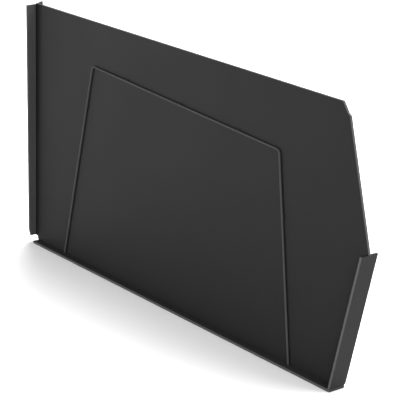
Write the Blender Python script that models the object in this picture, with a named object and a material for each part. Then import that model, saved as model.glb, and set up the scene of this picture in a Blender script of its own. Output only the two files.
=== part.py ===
"""Fireplace screen: a steel sheet welded between flat bars, with a bent rod on its front.

Metres, +Z up. The front faces -Y. The origin is on the floor, under the middle of the screen.
The shapes are laid out in a drawing frame: x from the left bar's inner face, y from the panel's
front face (+y to the back), z from the base bar's top. drawing_origin() puts that frame in place.
"""
import math

import bmesh
import bpy
from mathutils import Vector

GAP = 0.0003                    # between two pieces that touch

# Sheet
PANEL_THICKNESS = 0.0040
PANEL_HEIGHT = 0.4007
TOP_EDGE_LENGTH = 0.7162        # from the left bar to the top right corner cut
CORNER_CUT = ((0.7262, 0.3867), (0.7307, 0.3836))   # the cut runs through these two points
PANEL_OVER_BAR = 0.0009         # the slanted edge ends this far outside the right bar's outer face
NOTCH_WIDTH = 0.0056            # relief at the bottom left corner
NOTCH_HEIGHT = 0.0058
NOTCH_ROUND = 0.0006
CORNER_ROUND = 0.0030           # where the corner cut turns and meets the right edge
TOP_CORNER_ROUND = 0.0010       # where it meets the top edge

# Flat bars
BAR_WIDTH = 0.0300
BAR_THICKNESS = 0.0040
BAR_FRONT = 0.0115              # how far the base bar and the right bar stand in front of the panel
BAR_CORNER = 0.0012             # corner rounding of a cut end
BASE_START = 0.0082
BASE_END = 0.7335
LEFT_BAR_FRONT = 0.0119         # the same for the left bar, at its foot
LEFT_BAR_FOOT = 0.0065          # its lower end stays this far above the base bar
LEFT_BAR_FOOT_CUT = (0.0024, 0.0110)    # depth and height of the slant that cuts its front corner back
LEFT_BAR_TOP_FRONT = 0.3985
LEFT_BAR_TOP_BEND = (0.0015, 0.3987)    # y and z: behind here its top end rises to the back
LEFT_BAR_TOP_BACK = 0.4022
LEFT_BAR_LEAN = 0.0037          # its top stands this much further forward than its foot
RIGHT_BAR_HEIGHT = 0.2060
RIGHT_BAR_RUN = 0.0462          # its top stands this much further out than its foot
RIGHT_BAR_BACK_CORNER = 0.0035  # bigger rounding at the foot's back corner, and under it

# Rod on the front
ROD_RADIUS = 0.0015
ROD_BEND = 0.0065
ROD_LEFT_FOOT = 0.0877
ROD_LEFT_CORNER = (0.1615, 0.3309)
ROD_RIGHT_CORNER = (0.5995, 0.3055)
ROD_RIGHT_FOOT = 0.6384
ROD_FOOT_CLEAR = 0.0008         # the square-cut ends of the leaning legs touch with one side only
ROD_SIDES = 20

# Welds
FILLET_LEG = 0.0035
FILLET_CROWN = 0.62             # share of the leg that the middle of the bead bulges out to
FILLET_SHOULDER = 0.55          # where the points between toe and crown lie
BEAD_RINGS = ((0.0, 0.45), (0.08, 0.9), (0.92, 0.9), (1.0, 0.45))   # share of length, size there
STITCH_LENGTH = 0.0250
BASE_STITCHES = 6
LEFT_STITCHES = 4
RIGHT_STITCHES = 3
STITCH_MARGIN = 0.0350          # from a joint's end to the middle of its first stitch
FOOT_WELD_INSET = 0.0010        # the weld at the right bar's foot starts this far behind the panel
TACK_RADIUS = 0.0010
TACK_LENGTH = 0.0060
TACK_SIDES = 10
TACK_PLACES = ((0.3, 0.8), (0.2, 0.5, 0.8), (0.3, 0.8))   # shares of the rod's three straight runs

EDGE_ROUND = 0.0004             # broken edges of the sheet and bars
EDGE_STEPS = 2
SHARP_EDGE = math.radians(40)   # edges that turn more than this are broken
SHARP_BEAD = math.radians(50)   # edges that turn more than this stay sharp on a weld
ARC_STEP = math.radians(7.5)

COAT_COLOUR = (0.040, 0.040, 0.041, 1.0)
ROD_COLOUR = (0.045, 0.045, 0.046, 1.0)
WELD_COLOUR = (0.034, 0.034, 0.035, 1.0)
COAT_ROUGHNESS = 0.50
ROD_ROUGHNESS = 0.45
WELD_ROUGHNESS = 0.55


def drawing_origin():
    """World position of the drawing frame's zero point: the whole screen is centred on the floor."""
    left = -BAR_THICKNESS
    right = BASE_END + RIGHT_BAR_RUN + PANEL_OVER_BAR
    front = -LEFT_BAR_FRONT - LEFT_BAR_LEAN
    back = BAR_WIDTH - BAR_FRONT
    return Vector((-(left + right) / 2, -(front + back) / 2, BAR_THICKNESS))


def clear_scene():
    for old in list(bpy.data.objects):
        bpy.data.objects.remove(old, do_unlink=True)


def steel(name, colour, roughness):
    """Powder-coated steel."""
    material = bpy.data.materials.new(name)
    material.use_nodes = True
    shader = material.node_tree.nodes["Principled BSDF"]
    shader.inputs["Base Color"].default_value = colour
    shader.inputs["Roughness"].default_value = roughness
    shader.inputs["Metallic"].default_value = 0.0
    material.diffuse_color = colour
    return material


def rounded(outline, radii):
    """The outline's 2-D points with each corner turned into an arc of its own radius."""
    points = []
    count = len(outline)
    for index, radius in enumerate(radii):
        corner = Vector(outline[index])
        if not radius:
            points.append(corner)
            continue
        before = (Vector(outline[index - 1]) - corner).normalized()
        after = (Vector(outline[(index + 1) % count]) - corner).normalized()
        half = before.angle(after) / 2
        centre = corner + (before + after).normalized() * (radius / math.sin(half))
        start = corner + before * (radius / math.tan(half)) - centre
        end = corner + after * (radius / math.tan(half)) - centre
        turn = start.angle_signed(end)
        steps = max(2, math.ceil(abs(turn) / ARC_STEP))
        for step in range(steps + 1):
            angle = -turn * step / steps
            points.append(centre + Vector((
                start.x * math.cos(angle) - start.y * math.sin(angle),
                start.x * math.sin(angle) + start.y * math.cos(angle))))
    return points


def plate(name, points, thickness, material):
    """A flat outline of 3-D points, made into a solid by the vector thickness, edges broken."""
    mesh = bpy.data.meshes.new(name)
    shape = bmesh.new()
    face = shape.faces.new([shape.verts.new(point) for point in points])
    extruded = bmesh.ops.extrude_face_region(shape, geom=[face])
    moved = [item for item in extruded["geom"] if isinstance(item, bmesh.types.BMVert)]
    bmesh.ops.translate(shape, verts=moved, vec=thickness)
    bmesh.ops.recalc_face_normals(shape, faces=shape.faces)
    shape.to_mesh(mesh)
    shape.free()
    piece = place(name, mesh, material)
    bevel = piece.modifiers.new("broken_edges", "BEVEL")
    bevel.width = EDGE_ROUND
    bevel.segments = EDGE_STEPS
    bevel.limit_method = "ANGLE"
    bevel.angle_limit = SHARP_EDGE
    return piece


def place(name, data, material):
    """Put mesh or curve data, drawn in the drawing frame, into the scene."""
    data.materials.append(material)
    piece = bpy.data.objects.new(name, data)
    piece.location = drawing_origin()
    bpy.context.scene.collection.objects.link(piece)
    return piece


def right_bar_outer(height):
    """x of the right bar's outer face at a height above the base bar."""
    return BASE_END + RIGHT_BAR_RUN * height / RIGHT_BAR_HEIGHT


def right_bar_level_thickness():
    """The leaning bar's thickness, measured level."""
    return BAR_THICKNESS * math.hypot(RIGHT_BAR_RUN, RIGHT_BAR_HEIGHT) / RIGHT_BAR_HEIGHT


def right_bar_inner(height):
    return right_bar_outer(height) - right_bar_level_thickness()


def screen_panel():
    over_bar = RIGHT_BAR_HEIGHT + GAP
    outline = [
        (GAP, NOTCH_HEIGHT),
        (NOTCH_WIDTH, NOTCH_HEIGHT),
        (NOTCH_WIDTH, GAP),
        (right_bar_inner(GAP) - GAP, GAP),
        (right_bar_inner(over_bar) - GAP, over_bar),
        (right_bar_outer(RIGHT_BAR_HEIGHT) + PANEL_OVER_BAR, over_bar),
        *reversed(CORNER_CUT),
        (TOP_EDGE_LENGTH, PANEL_HEIGHT),
        (GAP, PANEL_HEIGHT),
    ]
    radii = [0, NOTCH_ROUND, 0, 0, 0, 0, CORNER_ROUND, CORNER_ROUND, TOP_CORNER_ROUND, 0]
    points = [(x, 0, z) for x, z in rounded(outline, radii)]
    coat = steel("panel_coat", COAT_COLOUR, COAT_ROUGHNESS)
    plate("screen_panel", points, Vector((0, PANEL_THICKNESS, 0)), coat)


def base_bar():
    back = BAR_WIDTH - BAR_FRONT
    outline = [(BASE_START, -BAR_FRONT), (BASE_END, -BAR_FRONT), (BASE_END, back), (BASE_START, back)]
    radii = [BAR_CORNER, BAR_CORNER, RIGHT_BAR_BACK_CORNER, BAR_CORNER]
    points = [(x, y, -BAR_THICKNESS) for x, y in rounded(outline, radii)]
    coat = steel("base_bar_coat", COAT_COLOUR, COAT_ROUGHNESS)
    plate("base_bar", points, Vector((0, 0, BAR_THICKNESS)), coat)


def left_bar():
    back = BAR_WIDTH - LEFT_BAR_FRONT
    cut_depth, cut_height = LEFT_BAR_FOOT_CUT
    outline = [
        (-LEFT_BAR_FRONT, LEFT_BAR_FOOT + cut_height),
        (-LEFT_BAR_FRONT + cut_depth, LEFT_BAR_FOOT),
        (back, LEFT_BAR_FOOT),
        (back - LEFT_BAR_LEAN, LEFT_BAR_TOP_BACK),
        LEFT_BAR_TOP_BEND,
        (-LEFT_BAR_FRONT - LEFT_BAR_LEAN, LEFT_BAR_TOP_FRONT),
    ]
    radii = [0, BAR_CORNER / 2, BAR_CORNER / 2, BAR_CORNER / 2, 0, BAR_CORNER / 2]
    points = [(-BAR_THICKNESS, y, z) for y, z in rounded(outline, radii)]
    coat = steel("left_bar_coat", COAT_COLOUR, COAT_ROUGHNESS)
    plate("left_bar", points, Vector((BAR_THICKNESS, 0, 0)), coat)


def right_bar():
    back = BAR_WIDTH - BAR_FRONT
    outline = [(-BAR_FRONT, GAP), (back, GAP), (back, RIGHT_BAR_HEIGHT), (-BAR_FRONT, RIGHT_BAR_HEIGHT)]
    radii = [0, RIGHT_BAR_BACK_CORNER, BAR_CORNER / 2, BAR_CORNER / 2]
    points = [(right_bar_outer(z), y, z) for y, z in rounded(outline, radii)]
    inward = Vector((-right_bar_level_thickness(), 0, 0))
    plate("right_bar", points, inward, steel("right_bar_coat", COAT_COLOUR, COAT_ROUGHNESS))


def rod_corners():
    """The rod's centre line in x and z, before bending: two leaning legs and a cross bar."""
    return [(ROD_LEFT_FOOT, ROD_FOOT_CLEAR), ROD_LEFT_CORNER,
            ROD_RIGHT_CORNER, (ROD_RIGHT_FOOT, ROD_FOOT_CLEAR)]


def rod_depth():
    """y of the rod's centre line, which lies against the panel's front."""
    return -ROD_RADIUS - GAP


def wire_frame():
    curve = bpy.data.curves.new("wire_frame", "CURVE")
    curve.dimensions = "3D"
    curve.bevel_depth = ROD_RADIUS
    curve.bevel_resolution = ROD_SIDES // 4 - 1
    curve.use_fill_caps = True
    route = rounded(rod_corners(), [0, ROD_BEND, ROD_BEND, 0])
    spline = curve.splines.new("POLY")
    spline.points.add(len(route) - 1)
    for point, (x, z) in zip(spline.points, route):
        point.co = (x, rod_depth(), z, 1.0)
    spline.use_smooth = True
    place("wire_frame", curve, steel("rod_coat", ROD_COLOUR, ROD_ROUGHNESS))


def weld_bead(name, start, end, section, material):
    """A weld bead from start to end: the section's 3-D offsets, drawn in to a small end face."""
    middle = sum(section, Vector()) / len(section)
    shape = bmesh.new()
    loops = []
    for along, size in BEAD_RINGS:
        centre = (end - start) * along
        loops.append([shape.verts.new(centre + middle + (offset - middle) * size) for offset in section])
    bmesh.ops.contextual_create(shape, geom=loops[0])
    bmesh.ops.contextual_create(shape, geom=loops[-1])
    for first, second in zip(loops, loops[1:]):
        for index, corner in enumerate(first):
            following = (index + 1) % len(first)
            shape.faces.new((corner, first[following], second[following], second[index]))
    bmesh.ops.recalc_face_normals(shape, faces=shape.faces)
    mesh = bpy.data.meshes.new(name)
    shape.to_mesh(mesh)
    shape.free()
    mesh.shade_smooth()
    mesh.set_sharp_from_angle(angle=SHARP_BEAD)
    bead = place(name, mesh, material)
    bead.location += start


def fillet_section(first_wall, second_wall):
    """A fillet's outline in a corner, given the two directions that run along its walls."""
    bisector = (first_wall + second_wall).normalized()
    root = bisector * (GAP / math.sin(first_wall.angle(second_wall) / 2))
    toe_a = root + first_wall * FILLET_LEG
    toe_b = root + second_wall * FILLET_LEG
    crown = root + (first_wall + second_wall) * (FILLET_LEG * FILLET_CROWN)
    shoulder_a = toe_a.lerp(crown, FILLET_SHOULDER)
    shoulder_b = toe_b.lerp(crown, FILLET_SHOULDER)
    return [root, toe_a, shoulder_a, crown, shoulder_b, toe_b]


def stitch_welds(name, start, end, count, section, material):
    """Evenly spread fillet stitches along a joint line."""
    along = (end - start).normalized()
    first = start + along * STITCH_MARGIN
    last = end - along * STITCH_MARGIN
    half = along * (STITCH_LENGTH / 2)
    for index in range(count):
        middle = first.lerp(last, index / (count - 1))
        weld_bead(f"{name}_{index + 1}", middle - half, middle + half, section, material)


def frame_welds(material):
    """The stitches behind the panel, which hold it to the three bars."""
    back = PANEL_THICKNESS
    up, out, right = Vector((0, 0, 1)), Vector((0, 1, 0)), Vector((1, 0, 0))
    stitch_welds("base_weld", Vector((BASE_START, back, 0)), Vector((BASE_END, back, 0)),
                 BASE_STITCHES, fillet_section(out, up), material)
    stitch_welds("left_weld", Vector((0, back, LEFT_BAR_FOOT)), Vector((0, back, PANEL_HEIGHT)),
                 LEFT_STITCHES, fillet_section(right, out), material)
    foot = Vector((right_bar_inner(0), back, 0))
    head = Vector((right_bar_inner(RIGHT_BAR_HEIGHT), back, RIGHT_BAR_HEIGHT))
    up_bar = (head - foot).normalized()
    into_sheet = Vector((-up_bar.z, 0, up_bar.x))
    stitch_welds("right_weld", foot, head, RIGHT_STITCHES, fillet_section(out, into_sheet), material)
    depth = BAR_WIDTH - BAR_FRONT - back
    start = foot + out * FOOT_WELD_INSET
    end = foot + out * (depth - RIGHT_BAR_BACK_CORNER)
    weld_bead("right_bar_foot_weld", start, end, fillet_section(-right, up_bar), material)


def tack_section(across, out):
    """A round bead's outline, from two directions square to its length."""
    turns = [2 * math.pi * step / TACK_SIDES for step in range(TACK_SIDES)]
    return [(across * math.cos(turn) + out * math.sin(turn)) * TACK_RADIUS for turn in turns]


def tack_beside_rod(name, leg_start, leg_end, along, material):
    """A tack in the corner between the rod and the sheet, on the leg's right or upper side."""
    run = (leg_end - leg_start).normalized()
    steep = abs(run.z) > abs(run.x)
    side = Vector((run.z, 0, -run.x)) * math.copysign(1, run.z if steep else -run.x)
    rise = ROD_RADIUS - TACK_RADIUS
    reach = math.sqrt((ROD_RADIUS + GAP + TACK_RADIUS) ** 2 - rise ** 2)
    middle = leg_start.lerp(leg_end, along) + side * reach
    middle.y = -GAP - TACK_RADIUS
    half = run * (TACK_LENGTH / 2)
    weld_bead(name, middle - half, middle + half, tack_section(side, Vector((0, 1, 0))), material)


def rod_welds(material):
    """Tacks that hold the rod to the panel."""
    corners = [Vector((x, 0, z)) for x, z in rod_corners()]
    number = 0
    for start, end, places in zip(corners, corners[1:], TACK_PLACES):
        for along in places:
            number += 1
            tack_beside_rod(f"rod_tack_{number}", start, end, along, material)


def build():
    clear_scene()
    screen_panel()
    base_bar()
    left_bar()
    right_bar()
    wire_frame()
    weld_coat = steel("weld_coat", WELD_COLOUR, WELD_ROUGHNESS)
    frame_welds(weld_coat)
    rod_welds(weld_coat)


build()
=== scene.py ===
"""The looks of the fireplace screen: powder-coated steel, rippled welds, a white floor and soft light."""
import math

import bmesh
import bpy
from mathutils import Matrix, Vector


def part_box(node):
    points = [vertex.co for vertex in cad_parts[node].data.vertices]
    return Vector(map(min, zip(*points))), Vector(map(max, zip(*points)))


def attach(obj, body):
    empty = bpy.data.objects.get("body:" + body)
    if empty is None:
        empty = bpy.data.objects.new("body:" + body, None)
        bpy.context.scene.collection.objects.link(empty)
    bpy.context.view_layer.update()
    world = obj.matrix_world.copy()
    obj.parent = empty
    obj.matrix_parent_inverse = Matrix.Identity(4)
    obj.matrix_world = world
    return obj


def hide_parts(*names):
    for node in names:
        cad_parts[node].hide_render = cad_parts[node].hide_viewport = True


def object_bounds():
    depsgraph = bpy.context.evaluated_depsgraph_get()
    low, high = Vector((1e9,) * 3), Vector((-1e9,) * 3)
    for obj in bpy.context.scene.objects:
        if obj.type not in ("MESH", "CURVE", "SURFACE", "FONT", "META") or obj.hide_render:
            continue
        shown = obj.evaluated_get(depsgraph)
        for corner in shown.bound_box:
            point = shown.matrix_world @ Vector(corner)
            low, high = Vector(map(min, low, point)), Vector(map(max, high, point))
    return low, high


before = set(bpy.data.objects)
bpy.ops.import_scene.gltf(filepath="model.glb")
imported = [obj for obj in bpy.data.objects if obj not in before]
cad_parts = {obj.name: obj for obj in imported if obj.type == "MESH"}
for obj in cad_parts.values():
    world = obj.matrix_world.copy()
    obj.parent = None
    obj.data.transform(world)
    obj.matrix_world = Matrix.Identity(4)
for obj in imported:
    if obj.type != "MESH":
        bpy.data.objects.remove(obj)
CAD_LOW, CAD_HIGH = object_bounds()

# Camera: where it aims, counted from the middle of the screen's box, and from where
AIM_OFFSET = Vector((0.0405, 0.0002, -0.0134))
AZIMUTH = math.radians(50.54)
ELEVATION = math.radians(18.355)
ROLL = math.radians(1.753)
DISTANCE = 2.4699
SENSOR_WIDTH = 36.0             # millimetres, like the lens
LENS = 152.11

# Coat
COAT = (0.0078, 0.0078, 0.0080)
# Pale colour of rubbed edges, also used for the painted highlights on edges and faces
PALE_WEAR_AND_HIGHLIGHT = (0.110, 0.110, 0.110)
IOR = 1.5
SPECULAR_LEVEL = 0.07
CLOUD_SIZE = 0.16
CLOUD_SHADES = (0.90, 1.10)     # shares of the coat's colour that the clouding runs between
CLOUD_ROUGHNESS = (0.50, 0.58)
PEEL_SIZE = 0.0035              # orange peel
PEEL_DEPTH = 0.00020
PEEL_STRENGTH = 0.35
GRAIN_SIZE = 0.0005
GRAIN_DEPTH = 0.00009
GRAIN_STRENGTH = 0.7
GRAIN_ROUGHNESS = (-0.03, 0.05)     # added to the clouding's
SPECK_SHADE = 1.7               # the grain's highest points are this much paler
SPECK_SHARE = 0.5
MID_NOISE = (0.3, 0.7)          # the part of a noise's range that holds nearly all of it
SPECK_NOISE = (0.62, 0.80)
EDGE_REACH = 0.0009             # how far in from an edge the coat is paled, partly rubbed wear and partly painted highlight
EDGE_SAMPLES = 6
EDGE_COSINES = (0.995, 0.86)    # flat, and fully an edge
EDGE_PALE_NOISE = (0.25, 0.65)
EDGE_PALE_SHARES = (0.6, 1.0)         # the paling is uneven along an edge
HIGHLIGHT_FACE_COSINES = (0.55, 0.85)      # turned away from a painted highlight face, and fully part of it
HIGHLIGHT_FACE_NOISE = (0.2, 0.7)
HIGHLIGHT_FACE_SHARES = (0.8, 1.0)

# Directions of the faces that get a painted highlight
FRONT = (0, -1, 0)
SLANTED_EDGE = (0.97, 0, 0.24)  # square to the sheet's slanted right edge
TOP = (0, 0, 1)

# Welds
FILLETS = ("base_weld", "left_weld", "right_weld", "right_bar_foot_weld")
RIPPLE_PITCH = 0.0016
RIPPLE_DEPTH = 0.14
RIPPLE_LAG = 0.55               # how many ripples the bead's middle lags behind its sides
BEAD_WANDER = 0.06              # share of its size that a bead loses and regains along its run
WANDER_RATE = 900               # radians for each metre along the bead
WANDER_SHIFT = 5000             # radians for each metre of its length, so that beads differ
BEAD_CROWN = 0.74
BEAD_END = 0.0020               # length over which an end rounds off
BEAD_END_SIZE = 0.30
BEAD_RING_STEP = 0.00025
BEAD_SIDES = 10

# Degrees above which an edge keeps its crease
FLAT_PIECE_CREASE = 40
ROD_CREASE = 60
BEAD_CREASE = 60
WELD_DISTANCE = 0.000002        # points this close are one

# Floor
FLOOR_SIZE = 14.0
FLOOR_DROP = 0.0002             # below the screen's foot
FLOOR_CLOUD_SIZE = 0.6
FLOOR_SHADES = ((0.90, 0.90, 0.90), (0.93, 0.93, 0.93))
FLOOR_ROUGHNESS = 0.9

# Light
WORLD_STRENGTH = 0.50
LIGHTS = (   # name, place from the middle of the screen, size, power
    ("sky", (0.0, 0.9, 2.6), (3.0, 3.0), 100),
    ("back_left", (-1.3, 1.2, 2.0), (1.5, 1.5), 66),
    ("back_right", (1.8, 1.1, 2.1), (1.4, 1.4), 60),
    ("right", (2.6, -1.1, 0.4), (1.2, 1.2), 66),
    ("front", (-1.6, -2.1, -0.05), (2.2, 0.22), 48),
)


def centre_of(low, high):
    return (low + high) / 2


def add_camera():
    data = bpy.data.cameras.new("camera")
    data.sensor_width = SENSOR_WIDTH
    data.lens = LENS
    camera = bpy.data.objects.new("camera", data)
    bpy.context.scene.collection.objects.link(camera)
    back = Vector((math.sin(AZIMUTH) * math.cos(ELEVATION),
                   -math.cos(AZIMUTH) * math.cos(ELEVATION),
                   math.sin(ELEVATION)))
    right = Vector((math.cos(AZIMUTH), math.sin(AZIMUTH), 0))
    up = back.cross(right)
    turned_right = right * math.cos(ROLL) + up * math.sin(ROLL)
    turned_up = up * math.cos(ROLL) - right * math.sin(ROLL)
    axes = Matrix((turned_right, turned_up, back)).transposed()
    place = centre_of(CAD_LOW, CAD_HIGH) + AIM_OFFSET + back * DISTANCE
    camera.matrix_world = Matrix.Translation(place) @ axes.to_4x4()
    bpy.context.scene.camera = camera


def new_material(name):
    material = bpy.data.materials.new(name)
    material.use_nodes = True
    tree = material.node_tree
    return material, tree, tree.nodes["Principled BSDF"]


def add_node(tree, kind, **inputs):
    node = tree.nodes.new(kind)
    for key, value in inputs.items():
        node.inputs[key.replace("_", " ")].default_value = value
    return node


def noise(tree, size, detail, roughness=0.5):
    """Noise over the object's own space, with features of about this size in metres."""
    place = tree.nodes.new("ShaderNodeTexCoord")
    node = add_node(tree, "ShaderNodeTexNoise", Scale=1 / size, Detail=detail, Roughness=roughness)
    tree.links.new(place.outputs["Object"], node.inputs["Vector"])
    return node.outputs["Fac"]


def ramp(tree, value, source, target=(0.0, 1.0)):
    """The value moved from one range to another, and kept inside it."""
    node = add_node(tree, "ShaderNodeMapRange", From_Min=source[0], From_Max=source[1],
                    To_Min=target[0], To_Max=target[1])
    tree.links.new(value, node.inputs["Value"])
    return node.outputs["Result"]


def math_node(tree, operation, first, second):
    node = tree.nodes.new("ShaderNodeMath")
    node.operation = operation
    for socket, value in zip(node.inputs, (first, second)):
        if isinstance(value, (int, float)):
            socket.default_value = value
        else:
            tree.links.new(value, socket)
    return node.outputs[0]


def mixed_colour(tree, share, first, second):
    node = tree.nodes.new("ShaderNodeMix")
    node.data_type = "RGBA"
    tree.links.new(share, node.inputs["Factor"])
    for socket, value in ((node.inputs[6], first), (node.inputs[7], second)):
        if isinstance(value, tuple):
            socket.default_value = (*value, 1.0)
        else:
            tree.links.new(value, socket)
    return node.outputs[2]


def edge_share(tree):
    """1 on edges, 0 on flats: how far the rounded normal turns away from the face's own."""
    rounded = add_node(tree, "ShaderNodeBevel", Radius=EDGE_REACH)
    rounded.samples = EDGE_SAMPLES
    own = tree.nodes.new("ShaderNodeNewGeometry")
    dot = tree.nodes.new("ShaderNodeVectorMath")
    dot.operation = "DOT_PRODUCT"
    tree.links.new(rounded.outputs["Normal"], dot.inputs[0])
    tree.links.new(own.outputs["Normal"], dot.inputs[1])
    return ramp(tree, dot.outputs["Value"], EDGE_COSINES)


def painted_highlight_face_share(tree, facing):
    """1 on the faces that look along the vector facing, falling to 0 where they turn away."""
    own = tree.nodes.new("ShaderNodeNewGeometry")
    dot = tree.nodes.new("ShaderNodeVectorMath")
    dot.operation = "DOT_PRODUCT"
    tree.links.new(own.outputs["True Normal"], dot.inputs[0])
    dot.inputs[1].default_value = facing
    return ramp(tree, dot.outputs["Value"], HIGHLIGHT_FACE_COSINES)


def bump(tree, shader, heights):
    """Stacks bumps: (height, strength, distance) each."""
    normal = None
    for height, strength, distance in heights:
        node = add_node(tree, "ShaderNodeBump", Strength=strength, Distance=distance)
        tree.links.new(height, node.inputs["Height"])
        if normal:
            tree.links.new(normal, node.inputs["Normal"])
        normal = node.outputs["Normal"]
    tree.links.new(normal, shader.inputs["Normal"])


def powder_coat(name, painted_light_tone=1.0, edge=0.5, gloss=0.0, painted_highlight_faces=()):
    """Matt textured powder coat: grain, orange peel, clouding, paler edges that are partly rubbed wear
    and partly painted highlight, and faces given a painted highlight.

    painted_light_tone scales the coat's colour: painted light, making a piece paler to stand in for the
    light it catches. edge is how pale its edges are, partly rubbed wear and partly painted highlight, and
    gloss is taken off its roughness. painted_highlight_faces holds the direction and the painted
    highlight share of each face.
    """
    material, tree, shader = new_material(name)
    grain = noise(tree, GRAIN_SIZE, 2.0)
    peel = noise(tree, PEEL_SIZE, 2.0)
    clouds = noise(tree, CLOUD_SIZE, 4.0, 0.55)
    dark, pale, speck = (tuple(channel * painted_light_tone * shade for channel in COAT)
                         for shade in (*CLOUD_SHADES, SPECK_SHADE))
    base = mixed_colour(tree, ramp(tree, clouds, MID_NOISE), dark, pale)
    base = mixed_colour(tree, ramp(tree, grain, SPECK_NOISE, (0.0, SPECK_SHARE)), base, speck)
    # Edges are painted paler: partly rubbed wear and partly a painted highlight.
    edge_wear_and_highlight = math_node(tree, "MULTIPLY", edge_share(tree), ramp(tree, peel, EDGE_PALE_NOISE, EDGE_PALE_SHARES))
    edge_wear_and_highlight = math_node(tree, "MULTIPLY", edge_wear_and_highlight, edge)
    base = mixed_colour(tree, edge_wear_and_highlight, base, PALE_WEAR_AND_HIGHLIGHT)
    # Faces that look along each given direction are painted paler: a painted highlight for the light they
    # catch.
    for facing, share in painted_highlight_faces:
        face_highlight = math_node(tree, "MULTIPLY", painted_highlight_face_share(tree, facing),
                         ramp(tree, peel, HIGHLIGHT_FACE_NOISE, HIGHLIGHT_FACE_SHARES))
        base = mixed_colour(tree, math_node(tree, "MULTIPLY", face_highlight, share), base, PALE_WEAR_AND_HIGHLIGHT)
    tree.links.new(base, shader.inputs["Base Color"])
    low, high = CLOUD_ROUGHNESS
    rough = math_node(tree, "ADD", ramp(tree, clouds, MID_NOISE, (low - gloss, high - gloss)),
                      ramp(tree, grain, MID_NOISE, GRAIN_ROUGHNESS))
    tree.links.new(rough, shader.inputs["Roughness"])
    shader.inputs["Metallic"].default_value = 0.0
    shader.inputs["IOR"].default_value = IOR
    shader.inputs["Specular IOR Level"].default_value = SPECULAR_LEVEL
    bump(tree, shader, [(peel, PEEL_STRENGTH, PEEL_DEPTH), (grain, GRAIN_STRENGTH, GRAIN_DEPTH)])
    return material


def floor_material():
    material, tree, shader = new_material("floor_white")
    clouds = noise(tree, FLOOR_CLOUD_SIZE, 3.0)
    base = mixed_colour(tree, clouds, *FLOOR_SHADES)
    tree.links.new(base, shader.inputs["Base Color"])
    shader.inputs["Roughness"].default_value = FLOOR_ROUGHNESS
    shader.inputs["Specular IOR Level"].default_value = 0.0
    return material


def add_floor():
    bpy.ops.mesh.primitive_plane_add(size=FLOOR_SIZE)
    floor = bpy.context.object
    floor.name = "floor"
    floor.location = (0, 0, CAD_LOW.z - FLOOR_DROP)
    floor.data.materials.append(floor_material())


def add_light(name, place, target, size, power):
    """A rectangular light that faces the target."""
    data = bpy.data.lights.new(name, "AREA")
    data.shape = "RECTANGLE"
    data.size, data.size_y = size
    data.energy = power
    light = bpy.data.objects.new(name, data)
    bpy.context.scene.collection.objects.link(light)
    light.location = place
    light.rotation_mode = "QUATERNION"
    light.rotation_quaternion = (target - place).to_track_quat("-Z", "Y")


def add_world():
    world = bpy.data.worlds.new("studio")
    world.use_nodes = True
    background = world.node_tree.nodes["Background"]
    background.inputs["Color"].default_value = (1.0, 1.0, 1.0, 1.0)
    background.inputs["Strength"].default_value = WORLD_STRENGTH
    bpy.context.scene.world = world


def add_studio():
    middle = centre_of(CAD_LOW, CAD_HIGH)
    add_world()
    for name, place, size, power in LIGHTS:
        add_light(name, middle + Vector(place), middle, size, power)
    bpy.context.scene.view_settings.view_transform = "Standard"
    bpy.context.scene.view_settings.look = "None"


def smooth(piece, crease):
    """Soft normals over the broken edges, true ones on the flats."""
    weld = piece.modifiers.new("join", "WELD")
    weld.merge_threshold = WELD_DISTANCE
    for polygon in piece.data.polygons:
        polygon.use_smooth = True
    piece.data.set_sharp_from_angle(angle=math.radians(crease))
    weighted = piece.modifiers.new("flat_faces", "WEIGHTED_NORMAL")
    weighted.keep_sharp = True
    weighted.weight = 100


def paint(piece, material):
    piece.data.materials.clear()
    piece.data.materials.append(material)


def right_bar_lean():
    """Unit vector up the leaning right bar, from the middles of its first and last stitches."""
    foot = centre_of(*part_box("right_weld_1"))
    head = centre_of(*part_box("right_weld_3"))
    return Vector((head.x - foot.x, 0, head.z - foot.z)).normalized()


def bead_frame(name):
    """Directions of a fillet bead: along it, and along its two walls."""
    x, y, z = Vector((1, 0, 0)), Vector((0, 1, 0)), Vector((0, 0, 1))
    if name.startswith("base_weld"):
        return x, y, z
    if name.startswith("left_weld"):
        return z, x, y
    lean = right_bar_lean()
    if name == "right_bar_foot_weld":
        return y, -x, lean
    return lean, y, Vector((-lean.z, 0, lean.x))


def bead_size(travel, length, across):
    """Size of a bead's section at a travel along it and a share across it, 1 at its fullest.

    Each ripple is the edge of one frozen pool: it bulges, and its middle lags behind its sides.
    """
    lag = RIPPLE_LAG * 4 * across * (1 - across)
    ripple = abs(math.sin(math.pi * (travel / RIPPLE_PITCH + lag)))
    wave = math.sin(travel * WANDER_RATE + length * WANDER_SHIFT)
    wander = 1 - BEAD_WANDER * (0.5 + 0.5 * wave)
    from_end = min(travel, length - travel) / BEAD_END
    taper = 1.0 if from_end >= 1 else math.sqrt(1 - (1 - from_end) ** 2)
    return (1 - RIPPLE_DEPTH * (1 - ripple)) * wander * max(taper, BEAD_END_SIZE)


def bead_section(low, span, travel):
    """Points of a bead's section, in the bead's own directions: its root, then round its face."""
    points = [Vector((low[0] + travel, low[1], low[2]))]
    for side in range(BEAD_SIDES + 1):
        across = side / BEAD_SIDES
        size = bead_size(travel, span[0], across)
        bulge = 2 * across * (1 - across) * BEAD_CROWN
        reach_a = ((1 - across) ** 2 + bulge) * size * span[1]
        reach_b = (across ** 2 + bulge) * size * span[2]
        points.append(Vector((low[0] + travel, low[1] + reach_a, low[2] + reach_b)))
    return points


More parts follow.
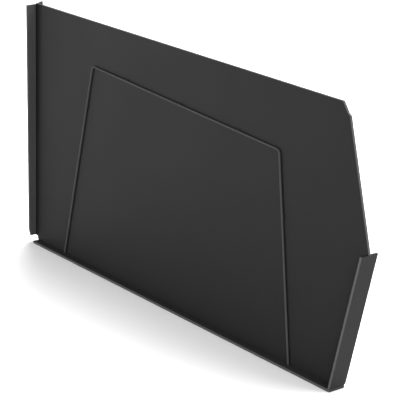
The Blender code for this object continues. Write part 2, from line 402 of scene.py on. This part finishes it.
def rippled_bead(name, material):
    """A fillet bead laid in overlapping ripples, in the place of the plain CAD bead."""
    basis = Matrix(bead_frame(name)).transposed()
    local = [basis.inverted() @ vertex.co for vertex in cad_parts[name].data.vertices]
    low = [min(point[axis] for point in local) for axis in range(3)]
    span = [max(point[axis] for point in local) - low[axis] for axis in range(3)]
    rings = math.ceil(span[0] / BEAD_RING_STEP)
    shape = bmesh.new()
    loops = [[shape.verts.new(basis @ point) for point in bead_section(low, span, span[0] * ring / rings)]
             for ring in range(rings + 1)]
    for first, second in zip(loops, loops[1:]):
        for index, corner in enumerate(first):
            following = (index + 1) % len(first)
            shape.faces.new((corner, first[following], second[following], second[index]))
    shape.faces.new(loops[0])
    shape.faces.new(loops[-1])
    bmesh.ops.recalc_face_normals(shape, faces=shape.faces)
    mesh = bpy.data.meshes.new(name + "_rippled")
    shape.to_mesh(mesh)
    shape.free()
    mesh.shade_smooth()
    mesh.set_sharp_from_angle(angle=math.radians(BEAD_CREASE))
    mesh.materials.append(material)
    bead = bpy.data.objects.new(name + "_rippled", mesh)
    bpy.context.scene.collection.objects.link(bead)
    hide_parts(name)
    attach(bead, "root")


def dress_cad():
    """Give every CAD node that is shown its own coat."""
    # Each piece's tone is painted light: the bars and rod are made paler than the panel to stand in for
    # the light they catch, though all share one coat.
    looks = {
        "screen_panel": powder_coat("panel_coat", edge=0.2, painted_highlight_faces=((SLANTED_EDGE, 0.5), (TOP, 0.25))),
        "base_bar": powder_coat("base_bar_coat", painted_light_tone=3.0, edge=0.2, painted_highlight_faces=((FRONT, 0.35),)),
        "left_bar": powder_coat("left_bar_coat", painted_light_tone=4.8, edge=0.05),
        "right_bar": powder_coat("right_bar_coat", painted_light_tone=1.5, edge=0.2, painted_highlight_faces=((FRONT, 0.5),)),
        "wire_frame": powder_coat("rod_coat", painted_light_tone=4.6, edge=0.0, gloss=0.08),
    }
    # The welds' higher tone is painted light too: paler to make up for the shade they sit in.
    weld_coat = powder_coat("weld_coat", painted_light_tone=1.6, edge=0.0, gloss=0.05)
    for name, node in list(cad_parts.items()):
        if name.startswith(FILLETS):
            rippled_bead(name, weld_coat)
            continue
        paint(node, looks.get(name, weld_coat))
        smooth(node, ROD_CREASE if name == "wire_frame" else FLAT_PIECE_CREASE)


add_camera()
add_floor()
add_studio()
dress_cad()
